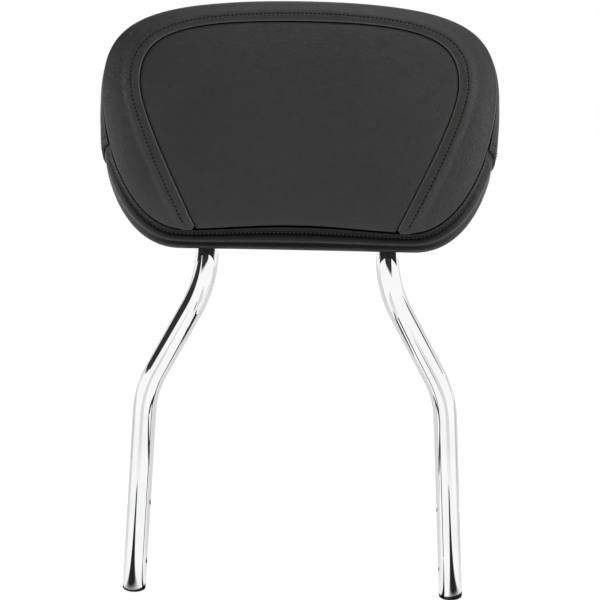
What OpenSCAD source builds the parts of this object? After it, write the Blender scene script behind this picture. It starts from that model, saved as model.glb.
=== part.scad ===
// Passenger sissy bar: a bent chrome tube with a padded vinyl backrest.
// X runs across the bar, +Y to the rear and +Z up. The origin is midway between the two legs
// and midway between their upper and lower bolt holes. Lengths are in millimetres.

/* [Tube] */
// Outer diameter of the tube
tube_d = 19.05; // [16:0.05:25.4]
// Wall of the tube
tube_wall = 2.0; // [1.5:0.1:3]
// Distance between the leg centre lines at the cut ends
foot_spread = 264.6; // [240:1:300]
// Distance between the leg centre lines at the knees
knee_spread = 240.8; // [220:1:260]
// Distance between the centre lines of the uprights
upright_spread = 143.4; // [120:1:170]
// Height of the knee bends above the middle of the bolt holes
knee_z = 122.1; // [95:1:155]
// Height of the shoulder bends above the middle of the bolt holes
shoulder_z = 210.3; // [190:1:245]
// Centre line radius of the knee and shoulder bends
bend_r = 85; // [50:1:100]
// Angle by which the uprights lean back
rake = 14; // [0:1:25]
// Length of the uprights from the shoulders to the crown of the arch
arch_rise = 192; // [180:1:200]

/* [Leg ends] */
// Distance from a cut end to the lower bolt hole
end_margin = 25.4; // [15:0.1:40]
// Distance between the two bolt holes of a leg
hole_pitch = 52; // [35:1:70]
// Diameter of the bolt holes
hole_d = 7.0; // [5:0.1:9]
// Length of the solid insert in each leg end
insert_len = 92; // [80:1:110]
// Chamfer on the inserts' ends
insert_chamfer = 1.0; // [0.3:0.1:2]

/* [Mounting straps] */
// Thickness of the straps
strap_t = 3.2; // [2:0.1:4]
// Height of the straps
strap_h = 25; // [20:1:26]
// Height of the lower strap above the shoulders, along the uprights
strap_low = 62; // [58:1:70]
// Height of the upper strap above the shoulders, along the uprights
strap_high = 106; // [98:1:107]
// Distance between the two screws of a strap
screw_spread = 76; // [56:1:90]
// Radius of the weld beads
weld_r = 2.6; // [1.5:0.1:3.5]

/* [Pad outline] */
// Width of the pad
pad_w = 306; // [280:1:330]
// Height of the pad
pad_h = 191; // [183:1:205]
// Height of the pad's lower edge above the shoulders, along the uprights
pad_drop = 26; // [20:1:30]
// Distance of the outer seam from the edge of the pad, at its top and sides
seam_inset = 3.4; // [2:0.1:6]
// Height of the bottom seam above the pad's lower edge, at the middle
foot_seam = 17.2; // [14:0.1:22]
// The bottom seam's drop towards the corners
foot_seam_dip = 3.9; // [0:0.1:6]
// Width of the centre panel
centre_w = 240.6; // [220:1:250]
// Distance from the pad's top to the centre panel
centre_top = 20.2; // [16:0.1:30]
// Angle from the top at which the upper and lower boxing meet
boxing_split = 101; // [90:1:110]

/* [Pad depth] */
// Depth of the face, from its edge to the rear of the pad
face_depth = 42.5; // [36:0.5:50]
// Rise of the face towards its middle
crown = 4.5; // [0:0.5:8]
// Depth of the outer seam at the top
seam_depth_top = 29; // [26:0.5:32]
// Depth of the outer seam at the bottom
seam_depth_foot = 34; // [30:0.5:36]
// Depth of the pad's widest line at the top
edge_depth_top = 18; // [14:0.5:22]
// Depth of the pad's widest line at the bottom
edge_depth_foot = 10; // [9:0.5:14]
// Roundness of the face towards the outer seam
face_power = 7; // [4:0.5:10]

/* [Pad layers] */
// Thickness of the vinyl
vinyl_t = 1.2; // [0.8:0.1:1.6]
// Thickness of the rear panel's stiff sheet
rear_sheet_t = 2.4; // [1.5:0.1:3]
// Thickness of the plywood base board
board_t = 9; // [6:0.5:10]
// Distance from the edge of the pad to the base board
board_inset = 8; // [7:0.5:9]
// Distance from the edge of the pad to the rear panel's edge
rear_inset = 12; // [11:0.5:14]
// Width of the vinyl turned in behind the base board
turn_in = 30; // [27:1:34]
// Radius of the pad's rear edge
rear_r = 7; // [5:0.5:8]

/* [Fasteners] */
// Diameter of the pad screws
screw_d = 6; // [5:0.5:8]
// Length of the pad screws below the head
screw_len = 20; // [19:0.5:21]
// Diameter of the screw heads
head_d = 10.5; // [9:0.1:13]
// Height of the screw heads
head_h = 3.3; // [2.5:0.1:5]
// Width across flats of the socket in a head
socket_af = 4; // [3:0.5:5]
// Outer diameter of the flat washers
washer_d = 12.5; // [11:0.1:16]
// Thickness of the flat washers and of the lock washers
washer_t = 1.6; // [1:0.1:2]
// Clearance between a fastener and its hole
hole_gap = 0.3; // [0.2:0.05:0.6]
// Diameter of the tee nuts' flanges
tee_flange_d = 19; // [15:0.5:22]
// Thickness of the tee nuts' flanges
tee_flange_t = 1.4; // [1:0.1:2]
// Wall of the tee nuts' barrels
tee_wall = 0.9; // [0.7:0.1:1.4]
// Length of the tee nuts' barrels
tee_len = 7.4; // [5:0.1:7.5]
// Crown width of a staple
staple_w = 10; // [8:0.5:12]
// Leg length of a staple
staple_leg = 7; // [5:0.5:8]
// Thickness of the staple wire
staple_wire = 0.6; // [0.5:0.05:0.8]
// Number of staples on each side of the middle
staple_pairs = 14; // [10:1:16]
// Stem diameter of the clips that hold the rear panel
clip_d = 6; // [5:0.5:7]
// Head diameter of the clips
clip_head_d = 14; // [10:0.5:16]
// Head thickness of the clips
clip_head_t = 1.0; // [0.8:0.1:1.2]
// Number of clips on each side of the middle
clip_pairs = 3; // [2:1:4]

/* [Hidden] */
$fn = 64;
chrome = [0.80, 0.81, 0.83];
steel = [0.62, 0.63, 0.65];
vinyl = [0.15, 0.15, 0.15];
vinyl_edge = [0.19, 0.18, 0.18];
foam = [0.85, 0.80, 0.62];
ply = [0.76, 0.62, 0.42];
black = [0.08, 0.08, 0.08];
tube_r = tube_d / 2;
bore_r = tube_r - tube_wall;
cut_over = 1;
bend_lap = 0.4;
bend_thinning = 0.02;

// Corners of the tube's path, from the right foot to the arch, before the bends are rounded
hole_z = hole_pitch / 2;
foot_z = -hole_z - end_margin;
foot_slope = (foot_spread - knee_spread) / 2 / (knee_z - foot_z);
foot = [foot_spread / 2, 0, foot_z];
knee = [knee_spread / 2, 0, knee_z];
shoulder = [upright_spread / 2, 0, shoulder_z];
arch_r = upright_spread / 2;
lean = [0, sin(rake), cos(rake)];
arch_corner = shoulder + arch_rise * lean;

function unit(v) = v / norm(v);
function mirrored(p) = [-p.x, p.y, p.z];
function turn(a, b, c) = acos(max(-1, min(1, unit(b - a) * unit(c - b))));
function setback(a, b, c, r) = r * tan(turn(a, b, c) / 2);

path = [foot, knee, shoulder, arch_corner, mirrored(arch_corner), mirrored(shoulder),
    mirrored(knee), mirrored(foot)];
radii = [0, bend_r, bend_r, arch_r, arch_r, bend_r, bend_r, 0];
last = len(path) - 1;
function trim(i) = i == 0 || i == last ? 0 : setback(path[i - 1], path[i], path[i + 1], radii[i]);

// Levels behind and in front of the uprights' axes, along the pad's depth
back_v = tube_r;
sheet_v = back_v + vinyl_t;
crown_v = sheet_v + rear_sheet_t;
flange_v = crown_v + staple_wire;
board_v = flange_v + vinyl_t;
core_v = board_v + board_t;
strap_v = back_v - strap_t;
washer_v = strap_v - washer_t;
head_v = washer_v - washer_t;
screw_x = screw_spread / 2;
screw_rows = [strap_low, strap_high];
shank_hole_d = screw_d + 2 * hole_gap;
barrel_d = screw_d + 2 * tee_wall;

// Pad outlines, as Bezier curves for its right half, from the top to the middle of the bottom
half_w = pad_w / 2;
hub = pad_drop + pad_h / 2;
function up(share) = pad_drop + share * pad_h;
edge_curve = [
    [[0, up(1)], [0.797 * half_w, up(1)], [half_w, up(0.895)], [half_w, up(0.592)]],
    [[half_w, up(0.592)], [1.02 * half_w, up(0.304)], [0.889 * half_w, up(0)], [0.588 * half_w, up(0)]],
    [[0.588 * half_w, up(0)], [0.4 * half_w, up(0)], [0.2 * half_w, up(0)], [0, up(0)]]
];
seam_w = half_w - seam_inset;
seam_top = up(1) - seam_inset;
seam_mid = pad_drop + foot_seam;
seam_low = seam_mid - foot_seam_dip;
seam_curve = [
    [[0, seam_top], [0.797 * seam_w, seam_top], [seam_w, up(0.89)], [seam_w, up(0.623)]],
    [[seam_w, up(0.623)], [0.992 * seam_w, up(0.387)], [0.836 * seam_w, seam_low], [0.568 * seam_w, seam_low]],
    [[0.568 * seam_w, seam_low], [0.4 * seam_w, seam_low], [0.234 * seam_w, seam_mid], [0, seam_mid]]
];
centre_half = centre_w / 2;
centre_high = up(1) - centre_top;
centre_foot = bezier(seam_curve[2], 0.12);
centre_curve = [
    [[0, centre_high], [0.79 * centre_half, centre_high], [centre_half, up(0.832)], [centre_half, up(0.649)]],
    [[centre_half, up(0.649)], [centre_half, up(0.56)], [0.881 * centre_half, up(0.387)], centre_foot]
];
function bezier(p, t) = let (s = 1 - t)
    s * s * s * p[0] + 3 * s * s * t * p[1] + 3 * s * t * t * p[2] + t * t * t * p[3];
function bearing(p) = atan2(p.x, p.y - hub);
// A curve as a table of bearing and distance from the hub
function reach(curve) = [for (part = curve, i = [0:24])
    let (p = bezier(part, i / 24)) [bearing(p), norm(p - [0, hub])]];
edge_reach = reach(edge_curve);
seam_reach = reach(seam_curve);
centre_reach = reach(centre_curve);
centre_end = bearing(centre_foot);
function folded(a) = abs(a > 180 ? a - 360 : a);
function edge_at(a) = lookup(folded(a), edge_reach);
function seam_at(a) = lookup(folded(a), seam_reach);
function centre_at(a) = folded(a) >= centre_end ? seam_at(a) : lookup(folded(a), centre_reach);

// How far the boxing has changed from its upper to its lower form, from 0 to 1
blend_deg = 14;
function eased(x) = let (t = max(0, min(1, x))) t * t * (3 - 2 * t);
function low(a) = eased((folded(a) - boxing_split + blend_deg) / (2 * blend_deg));
function mix(a, b, t) = a + (b - a) * t;
function seam_v(a) = back_v + mix(seam_depth_top, seam_depth_foot, low(a));
function edge_v(a) = back_v + mix(edge_depth_top, edge_depth_foot, low(a));
face_v = back_v + face_depth;
function face_at(a, r) = let (q = min(1, r / seam_at(a)))
    seam_v(a) + (face_v - seam_v(a)) * pow(1 - pow(q, face_power), 1 / face_power)
    + crown * (1 - q * q);

// One radial section of the cover as [distance, depth] points, from the middle of the face
// over the seams and round the rear edge to the turned-in rim
panel_steps = [0.35, 0.65, 0.85, 0.95, 1];
centre_last = len(panel_steps);
seam_last = centre_last + len(panel_steps);
function face_part(a) = let (c = centre_at(a), s = seam_at(a)) concat(
    [[0, face_at(a, 0)]],
    [for (k = panel_steps) [c * k, face_at(a, c * k)]],
    [for (k = panel_steps) let (r = mix(c, s, k)) [r, face_at(a, r)]]);
function box_part(a) = let (s = seam_at(a), e = edge_at(a), sv = seam_v(a), ev = edge_v(a)) [
    [mix(s, e, 0.45), mix(sv, ev, 0.22)],
    [mix(s, e, 0.8), mix(sv, ev, 0.55)],
    [e, ev],
    [e - 0.3 * rear_r, crown_v + staple_wire + 0.3 * rear_r],
    [e - rear_r, flange_v],
    [e - turn_in, flange_v]];
function section(a) = concat(face_part(a), box_part(a));
rim_last = seam_last + 6;
box_count = rim_last - seam_last + 1;
// The same section, one vinyl thickness further in
function inward(sec, i) = let (
    before = sec[max(0, i - 1)],
    after = sec[min(len(sec) - 1, i + 1)],
    along = after - before,
    n = i == 0 ? [0, -1] : i >= rim_last - 1 ? [0, 1] : unit([along.y, -along.x]))
    norm(along) == 0 ? sec[i] + vinyl_t * [0, -1] : sec[i] + vinyl_t * n;
function lining(sec) = [for (i = [0:len(sec) - 1]) inward(sec, i)];
function place(a, p) = [p.x * sin(a), -p.y, hub + p.x * cos(a)];

// Bearings of the sections from the top to the bottom of one side, then all the way round
border_tip = centre_end - 0.8;
half_turns = concat(
    [for (i = [0:21]) boxing_split * i / 22],
    [for (i = [0:7]) mix(boxing_split, border_tip, i / 8)],
    [border_tip],
    [for (i = [0:5]) mix(centre_end, 180, i / 5)]);
half_last = len(half_turns) - 1;
all_turns = concat(half_turns, [for (i = [half_last - 1:-1:1]) 360 - half_turns[i]]);
// The bearings within a limit on both sides of the top, and those of the rest
function upper_turns(limit) = concat(
    [for (i = [half_last:-1:1]) if (half_turns[i] <= limit) -half_turns[i]],
    [for (a = half_turns) if (a <= limit) a]);
function lower_turns(limit) = [for (a = all_turns) if (a >= limit && a <= 360 - limit) a];

// Seated edge of the border panel, which lies over the centre panel
lip = 0.8;
function border_part(a) = let (c = centre_at(a), s = seam_at(a))
    [for (k = concat([0], panel_steps)) let (r = mix(c, s, k)) [r, face_at(a, r) + lip * (1 - k)]];

// The two triangles of a four-cornered patch, divided from a to c or, where turned, from b to d
function patch(a, b, c, d, turned) = turned ? [[a, b, d], [b, c, d]] : [[a, b, c], [a, c, d]];

// A closed skin from a front and a rear pole over rings of equally many points. From the ring
// that turns back under the others on, the patches are divided to match what lies below them.
module lathe(front, rings, rear, under) {
    count = len(rings[0]);
    final = len(rings) - 1;
    points = concat([front], [for (ring = rings, p = ring) p], [rear]);
    function at(j, i) = 1 + j * count + i % count;
    faces = concat(
        [for (i = [0:count - 1]) [0, at(0, i), at(0, i + 1)]],
        [for (j = [0:final - 1], i = [0:count - 1])
            each patch(at(j, i), at(j + 1, i), at(j + 1, i + 1), at(j, i + 1), j >= under)],
        [for (i = [0:count - 1]) [len(points) - 1, at(final, i + 1), at(final, i)]]);
    polyhedron(points, faces);
}

// A strip swept through closed sections, with an end face on the first and the last. Its
// sections turn back under themselves at the point given.
module strip(sections, under) {
    count = len(sections[0]);
    final = len(sections) - 1;
    points = [for (sec = sections, p = sec) p];
    function at(j, i) = j * count + i % count;
    faces = concat(
        [[for (i = [0:count - 1]) at(0, i)]],
        [for (j = [0:final - 1], i = [0:count - 1])
            each patch(at(j, i), at(j + 1, i), at(j + 1, i + 1), at(j, i + 1), i >= under)],
        [[for (i = [count - 1:-1:0]) at(final, i)]]);
    polyhedron(points, faces);
}
function flipped(list) = [for (i = [len(list) - 1:-1:0]) list[i]];
function slice(list, i, j) = [for (k = [i:j]) list[k]];
function ring_of(j) = [for (a = all_turns) place(a, section(a)[j])];
function lining_ring(j) = [for (a = all_turns) place(a, lining(section(a))[j])];
function flat_ring(inset, v) = [for (a = all_turns) place(a, [edge_at(a) - inset, v])];
function outline(inset) = [for (a = all_turns) let (r = edge_at(a) - inset) [r * sin(a), hub + r * cos(a)]];

// From the uprights' frame, whose Z runs up along them from the shoulders, to the whole bar's
module in_pad() {
    translate([0, 0, shoulder_z]) rotate([-rake, 0, 0]) children();
}
// A flat sheet with the pad's outline between two depths
module sheet(inset, from_v, to_v) {
    translate([0, -from_v, 0]) rotate([90, 0, 0]) linear_extrude(to_v - from_v) polygon(outline(inset));
}
// At each pad screw, with Z pointing into the pad from the uprights' axes
module at_screws() {
    for (side = [-1, 1], row = screw_rows) translate([side * screw_x, 0, row]) rotate([90, 0, 0]) children();
}
module at_clips() {
    for (side = [-1, 1], i = [1:clip_pairs]) {
        a = side * (40 + 42.5 * (i - 1));
        translate(place(a, [edge_at(a) - 42, 0])) rotate([90, 0, 0]) children();
    }
}
module rod(r, from, to) {
    translate([0, 0, from]) cylinder(r = r, h = to - from);
}

module segment(a, b, r) {
    d = unit(b - a);
    translate(a) rotate([0, acos(d.z), atan2(d.y, d.x)]) cylinder(r = r, h = norm(b - a));
}
module bend(a, b, c, centre_r, r) {
    into = unit(b - a);
    axis = unit(cross(into, unit(c - b)));
    out = cross(into, axis);
    middle = b - setback(a, b, c, centre_r) * into - centre_r * out;
    multmatrix([
        [out.x, into.x, axis.x, middle.x],
        [out.y, into.y, axis.y, middle.y],
        [out.z, into.z, axis.z, middle.z]])
        rotate_extrude(angle = turn(a, b, c)) translate([centre_r, 0]) circle(r = r);
}
// The whole run of the tube with the given radius, made longer at both feet by over. Each
// straight laps a little over the bends beside it, which bending has left slightly thinner.
module tube_run(r, over) {
    for (i = [0:last - 1]) {
        d = unit(path[i + 1] - path[i]);
        a = path[i] + (i == 0 ? -over : trim(i) - bend_lap) * d;
        b = path[i + 1] - (i + 1 == last ? -over : trim(i + 1) - bend_lap) * d;
        segment(a, b, r);
    }
    for (i = [1:last - 1]) bend(path[i - 1], path[i], path[i + 1], radii[i], r - bend_thinning);
}
module bolt_holes() {
    for (side = [-1, 1], z = [-hole_z, hole_z])
        translate([side * (foot.x - foot_slope * (z - foot_z)), 0, z])
            rotate([0, 90, 0]) cylinder(d = hole_d, h = tube_d + 2 * cut_over, center = true);
}
module end_insert(side) {
    difference() {
        translate([side * foot.x, 0, foot.z]) rotate([0, -side * atan(foot_slope), 0]) union() {
            cylinder(r1 = bore_r - insert_chamfer, r2 = bore_r, h = insert_chamfer);
            rod(bore_r, insert_chamfer, insert_len - insert_chamfer);
            translate([0, 0, insert_len - insert_chamfer])
                cylinder(r1 = bore_r, r2 = bore_r - insert_chamfer, h = insert_chamfer);
        }
        bolt_holes();
    }
}
module strap(row) {
    difference() {
        in_pad() translate([-arch_r, -back_v, row - strap_h / 2]) cube([2 * arch_r, strap_t, strap_h]);
        in_pad() for (side = [-1, 1]) translate([side * arch_r, 0, 0]) cylinder(r = tube_r, h = arch_rise);
        in_pad() at_screws() rod(shank_hole_d / 2, strap_v - cut_over, back_v + cut_over);
    }
}
// One thickness of the cover from station i to station j of its sections
function skin(a, i, j) = let (sec = section(a), under = lining(sec))
    [for (p = concat(slice(sec, i, j), flipped(slice(under, i, j)))) place(a, p)];
function border_skin(a) = let (sec = section(a), under = lining(sec)) [for (p = concat(
    border_part(a), flipped(slice(under, centre_last, seam_last)), [sec[centre_last]])) place(a, p)];
module staple_pins(grow) {
    for (side = [-1, 1], i = [1:staple_pairs]) {
        a = 180 * (i - 0.5) / staple_pairs;
        here = place(side * a, [edge_at(a) - staple_inset, 0]);
        ahead = place(side * (a + 1), [edge_at(a + 1) - staple_inset, 0]) - here;
        translate(here) rotate([0, -atan2(ahead.z, ahead.x), 0]) rotate([90, 0, 0]) {
            for (end = [-1, 1]) translate([end * (staple_w - staple_wire) / 2, 0, flange_v + staple_leg / 2])
                cube([staple_wire + grow, 2 * staple_wire + grow, staple_leg + grow], center = true);
            children();
        }
    }
}
staple_inset = (rear_r + turn_in) / 2 + 1;

module bar_tube() {
    color(chrome) difference() {
        tube_run(tube_r, 0);
        tube_run(bore_r, cut_over);
        bolt_holes();
    }
}
module left_end_insert() {
    color(steel) end_insert(-1);
}
module right_end_insert() {
    color(steel) end_insert(1);
}
module lower_mount_strap() {
    color(chrome) strap(strap_low);
}
module upper_mount_strap() {
    color(chrome) strap(strap_high);
}
// Beads in the corners between the straps' rear faces and the uprights
module weld_beads() {
    corner_x = arch_r - sqrt(tube_r * tube_r - strap_v * strap_v);
    color(chrome) in_pad() for (side = [-1, 1], row = screw_rows) difference() {
        translate([side * corner_x, -strap_v, row - 0.44 * strap_h]) cylinder(r = weld_r, h = 0.88 * strap_h);
        translate([side * arch_r, 0, 0]) cylinder(r = tube_r, h = arch_rise);
        translate([-arch_r, -back_v, row - strap_h / 2]) cube([2 * arch_r, strap_t, strap_h]);
    }
}
module tee_nut() {
    difference() {
        union() {
            rod(tee_flange_d / 2, core_v - tee_flange_t, core_v);
            rod(barrel_d / 2, core_v - tee_flange_t - tee_len, core_v - tee_flange_t);
            prongs();
        }
        rod(screw_d / 2, board_v - cut_over, core_v + cut_over);
    }
}
module prongs() {
    for (i = [0:3]) rotate(90 * i + 45)
        translate([tee_flange_d / 2 - 1.9, -1.5, core_v - tee_flange_t - 4]) cube([1, 3, 4]);
}
module tee_nuts() {
    color(steel) in_pad() at_screws() tee_nut();
}
module base_board() {
    color(ply) in_pad() difference() {
        sheet(board_inset, board_v, core_v);
        at_screws() {
            rod(tee_flange_d / 2, core_v - tee_flange_t, core_v + cut_over);
            rod(barrel_d / 2, board_v - cut_over, core_v);
            prongs();
        }
        at_clips() rod(clip_d / 2, board_v - cut_over, board_v + 6.5);
        staple_pins(0);
    }
}
module foam_core() {
    inner = [for (j = [1:seam_last + 5]) lining_ring(j)];
    color(foam) in_pad() lathe(
        place(0, lining(section(0))[0]),
        concat(inner, [flat_ring(board_inset, board_v), flat_ring(board_inset, core_v)]),
        place(0, [0, core_v]), len(all_turns));
}
module centre_panel() {
    color(vinyl) in_pad() lathe(
        place(0, section(0)[0]),
        concat([for (j = [1:centre_last]) ring_of(j)], [for (j = [centre_last:-1:1]) lining_ring(j)]),
        place(0, lining(section(0))[0]), centre_last);
}
module border_panel() {
    color(vinyl_edge) in_pad() strip([for (a = upper_turns(border_tip)) border_skin(a)],
        len(panel_steps) + 1);
}
module upper_boxing() {
    color(vinyl) in_pad() difference() {
        strip([for (a = upper_turns(boxing_split)) skin(a, seam_last, rim_last)], box_count);
        staple_pins(0);
    }
}
module lower_boxing() {
    color(vinyl) in_pad() difference() {
        strip([for (a = lower_turns(boxing_split)) skin(a, seam_last, rim_last)], box_count);
        staple_pins(0);
    }
}
module rear_sheet() {
    color(ply) in_pad() difference() {
        sheet(rear_inset, sheet_v, crown_v);
        at_screws() rod(shank_hole_d / 2, sheet_v - cut_over, crown_v + cut_over);
        at_clips() {
            rod(clip_head_d / 2, sheet_v - cut_over, sheet_v + clip_head_t);
            rod(clip_d / 2, sheet_v, crown_v + cut_over);
        }
    }
}
module rear_cover() {
    color(vinyl) in_pad() difference() {
        sheet(rear_inset - vinyl_t, back_v, crown_v);
        sheet(rear_inset, sheet_v, crown_v + cut_over);
        at_screws() rod(shank_hole_d / 2, back_v - cut_over, sheet_v + cut_over);
    }
}
module staples() {
    color(steel) in_pad() staple_pins(0)
        translate([-staple_w / 2, -staple_wire, crown_v]) cube([staple_w, 2 * staple_wire, staple_wire]);
}
module panel_clips() {
    color(black) in_pad() at_clips() {
        rod(clip_head_d / 2, sheet_v, sheet_v + clip_head_t);
        rod(clip_d / 2, sheet_v + clip_head_t, board_v + 6);
    }
}
module pad_screws() {
    dome_r = (head_d * head_d / 4 + head_h * head_h) / (2 * head_h);
    color(steel) in_pad() at_screws() {
        difference() {
            intersection() {
                rod(head_d / 2, head_v - head_h, head_v);
                translate([0, 0, head_v - head_h + dome_r]) sphere(r = dome_r);
            }
            translate([0, 0, head_v - head_h - cut_over])
                cylinder(d = socket_af / cos(30), h = 2 + cut_over, $fn = 6);
        }
        rod(screw_d / 2, head_v, head_v + screw_len);
    }
}
module lock_washers() {
    color(steel) in_pad() at_screws() difference() {
        rod(washer_d / 2 - 0.6, head_v, washer_v);
        rod(screw_d / 2 + hole_gap, head_v - cut_over, washer_v + cut_over);
        translate([0, 0, (head_v + washer_v) / 2]) rotate([35, 0, 0])
            translate([0, -0.4, -2 * washer_t]) cube([washer_d, 0.8, 4 * washer_t]);
    }
}
module flat_washers() {
    color(steel) in_pad() at_screws() difference() {
        rod(washer_d / 2, washer_v, strap_v);
        rod(screw_d / 2 + hole_gap, washer_v - cut_over, strap_v + cut_over);
    }
}

bar_tube();
left_end_insert();
right_end_insert();
lower_mount_strap();
upper_mount_strap();
weld_beads();
base_board();
tee_nuts();
foam_core();
centre_panel();
border_panel();
upper_boxing();
lower_boxing();
rear_sheet();
rear_cover();
staples();
panel_clips();
pad_screws();
lock_washers();
flat_washers();
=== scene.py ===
"""Sissy bar: a bent chrome tube with a padded black vinyl backrest.

Pad shapes are worked out in millimetres in the pad's own frame: u across, w up along the
uprights from the shoulders, v forward from the uprights' axes. world() turns them into metres
in the shared frame. Every random draw is seeded.
"""
import math

import bpy
import numpy as np
from mathutils import Matrix, Vector

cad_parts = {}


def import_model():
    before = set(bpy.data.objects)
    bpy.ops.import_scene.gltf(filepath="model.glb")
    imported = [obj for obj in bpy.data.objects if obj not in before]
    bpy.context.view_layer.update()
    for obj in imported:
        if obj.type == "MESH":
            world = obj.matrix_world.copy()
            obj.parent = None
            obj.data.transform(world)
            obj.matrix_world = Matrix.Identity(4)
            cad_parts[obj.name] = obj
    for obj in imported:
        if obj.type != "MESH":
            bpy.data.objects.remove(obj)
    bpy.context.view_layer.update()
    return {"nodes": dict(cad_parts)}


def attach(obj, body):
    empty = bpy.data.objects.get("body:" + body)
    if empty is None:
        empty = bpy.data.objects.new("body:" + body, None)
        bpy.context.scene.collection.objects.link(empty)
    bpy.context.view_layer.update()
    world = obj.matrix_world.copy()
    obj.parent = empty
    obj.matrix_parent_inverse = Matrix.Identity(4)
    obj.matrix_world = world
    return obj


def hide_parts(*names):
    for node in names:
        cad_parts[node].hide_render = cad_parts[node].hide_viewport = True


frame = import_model()
NODES = frame["nodes"]

# Sizes of the CAD model, in millimetres, with SPLIT_DEG in degrees and RAKE in radians
TUBE_R = 9.525
FOOT_Z = -51.4
UPRIGHT_X = 71.7
SHOULDER_Z = 210.3
RAKE = math.radians(14.0)
PAD_W, PAD_H, PAD_DROP = 306.0, 191.0, 26.0
SEAM_INSET, FOOT_SEAM, FOOT_DIP = 3.4, 17.2, 3.9
CENTRE_W, CENTRE_TOP = 240.6, 20.2
SPLIT_DEG = 101.0
FACE_DEPTH, CROWN = 42.5, 4.5
SEAM_DEPTH = (29.0, 34.0)
EDGE_DEPTH = (18.0, 10.0)
FACE_POWER = 7.0
REAR_R, TURN_IN, REAR_INSET = 7.0, 30.0, 12.0
VINYL_T, SHEET_T, FLANGE_GAP = 1.2, 2.4, 0.6
BACK_V = TUBE_R
CROWN_V = BACK_V + VINYL_T + SHEET_T
FLANGE_V = CROWN_V + FLANGE_GAP

# Height of the point that bearings and distances on the pad are measured from
HUB = PAD_DROP + PAD_H / 2

# The photograph's viewpoint: aim, distance and shift in metres, lens and sensor in millimetres
CAMERA_AIM = Vector((0, 0, 0.1986))
CAMERA_DISTANCE = 1.0
CAMERA_YAW, CAMERA_RISE, CAMERA_ROLL = (math.radians(turn) for turn in (1.41, 12.78, 0.9))
CAMERA_SHIFT = (0.0030, -0.00055)
SENSOR, LENS = 36.0, 75.73


def add_object(name, data):
    obj = bpy.data.objects.new(name, data)
    bpy.context.scene.collection.objects.link(obj)
    return obj


def make_camera():
    level = math.cos(CAMERA_RISE)
    away = Vector((
        math.sin(CAMERA_YAW) * level, -math.cos(CAMERA_YAW) * level, math.sin(CAMERA_RISE)))
    ahead = -away
    right = ahead.cross(Vector((0, 0, 1))).normalized()
    over = right.cross(ahead)
    across = math.cos(CAMERA_ROLL) * right + math.sin(CAMERA_ROLL) * over
    upward = math.cos(CAMERA_ROLL) * over - math.sin(CAMERA_ROLL) * right
    place = CAMERA_AIM + CAMERA_DISTANCE * away
    place = place + CAMERA_SHIFT[0] * across + CAMERA_SHIFT[1] * upward
    data = bpy.data.cameras.new("camera")
    data.sensor_width = SENSOR
    data.lens = LENS
    data.clip_start = 0.05
    data.clip_end = 50.0
    data.dof.use_dof = False
    camera = add_object("camera", data)
    matrix = Matrix((across, upward, away)).transposed().to_4x4()
    matrix.translation = place
    camera.matrix_world = matrix
    bpy.context.scene.camera = camera


make_camera()
bpy.context.scene.view_settings.view_transform = "Standard"


# Outlines of the pad. Each half is a chain of curves from the top down, and each curve has four
# control points of [u, w]. TIP is the bearing where the inset seam meets the outer one, and
# BLEND_DEG the range of bearings over which the seam's and the edge's depths change.

CURVE_POINTS = 161
BLEND_DEG = 28.0


def up(share):
    """Height at a share of the pad's own height."""
    return PAD_DROP + share * PAD_H


def bezier(corners, count):
    """Points of a curve with four control points."""
    t = np.linspace(0, 1, count)[:, None]
    a, b, c, d = (np.array(p, float) for p in corners)
    return (1 - t) ** 3 * a + 3 * (1 - t) ** 2 * t * b + 3 * (1 - t) * t ** 2 * c + t ** 3 * d


HALF = PAD_W / 2
SEAM_W = HALF - SEAM_INSET
SEAM_TOP = up(1) - SEAM_INSET
SEAM_MID = PAD_DROP + FOOT_SEAM
SEAM_LOW = SEAM_MID - FOOT_DIP
EDGE_CURVE = [
    [(0, up(1)), (0.797 * HALF, up(1)), (HALF, up(0.895)), (HALF, up(0.592))],
    [(HALF, up(0.592)), (1.02 * HALF, up(0.304)), (0.889 * HALF, up(0)), (0.588 * HALF, up(0))],
    [(0.588 * HALF, up(0)), (0.4 * HALF, up(0)), (0.2 * HALF, up(0)), (0, up(0))]]
SEAM_CURVE = [
    [(0, SEAM_TOP), (0.797 * SEAM_W, SEAM_TOP), (SEAM_W, up(0.89)), (SEAM_W, up(0.623))],
    [(SEAM_W, up(0.623)), (0.992 * SEAM_W, up(0.387)), (0.836 * SEAM_W, SEAM_LOW),
     (0.568 * SEAM_W, SEAM_LOW)],
    [(0.568 * SEAM_W, SEAM_LOW), (0.4 * SEAM_W, SEAM_LOW), (0.234 * SEAM_W, SEAM_MID),
     (0, SEAM_MID)]]
C_HALF = CENTRE_W / 2
C_TOP = up(1) - CENTRE_TOP
# The inset seam ends on the outer one, 12 hundredths along its last curve
C_FOOT = tuple(bezier(SEAM_CURVE[2], 101)[12])
CENTRE_CURVE = [
    [(0, C_TOP), (0.79 * C_HALF, C_TOP), (C_HALF, up(0.832)), (C_HALF, up(0.649))],
    [(C_HALF, up(0.649)), (C_HALF, up(0.56)), (0.881 * C_HALF, up(0.387)), C_FOOT]]


def points_of(curve):
    parts = [bezier(part, CURVE_POINTS) for part in curve]
    return np.vstack([parts[0]] + [part[1:] for part in parts[1:]])


def reach_of(curve):
    """Bearings from the top and distances from the hub of a curve's points."""
    p = points_of(curve)
    bearing = np.degrees(np.arctan2(p[:, 0], p[:, 1] - HUB))
    return bearing, np.hypot(p[:, 0], p[:, 1] - HUB)


EDGE, SEAM, CENTRE = reach_of(EDGE_CURVE), reach_of(SEAM_CURVE), reach_of(CENTRE_CURVE)
TIP = CENTRE[0][-1]


def folded(a):
    """Bearing from the top, 0 to 180 on either side."""
    return np.abs(np.mod(np.asarray(a, float) + 180.0, 360.0) - 180.0)


def edge_at(a):
    return np.interp(folded(a), *EDGE)


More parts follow.
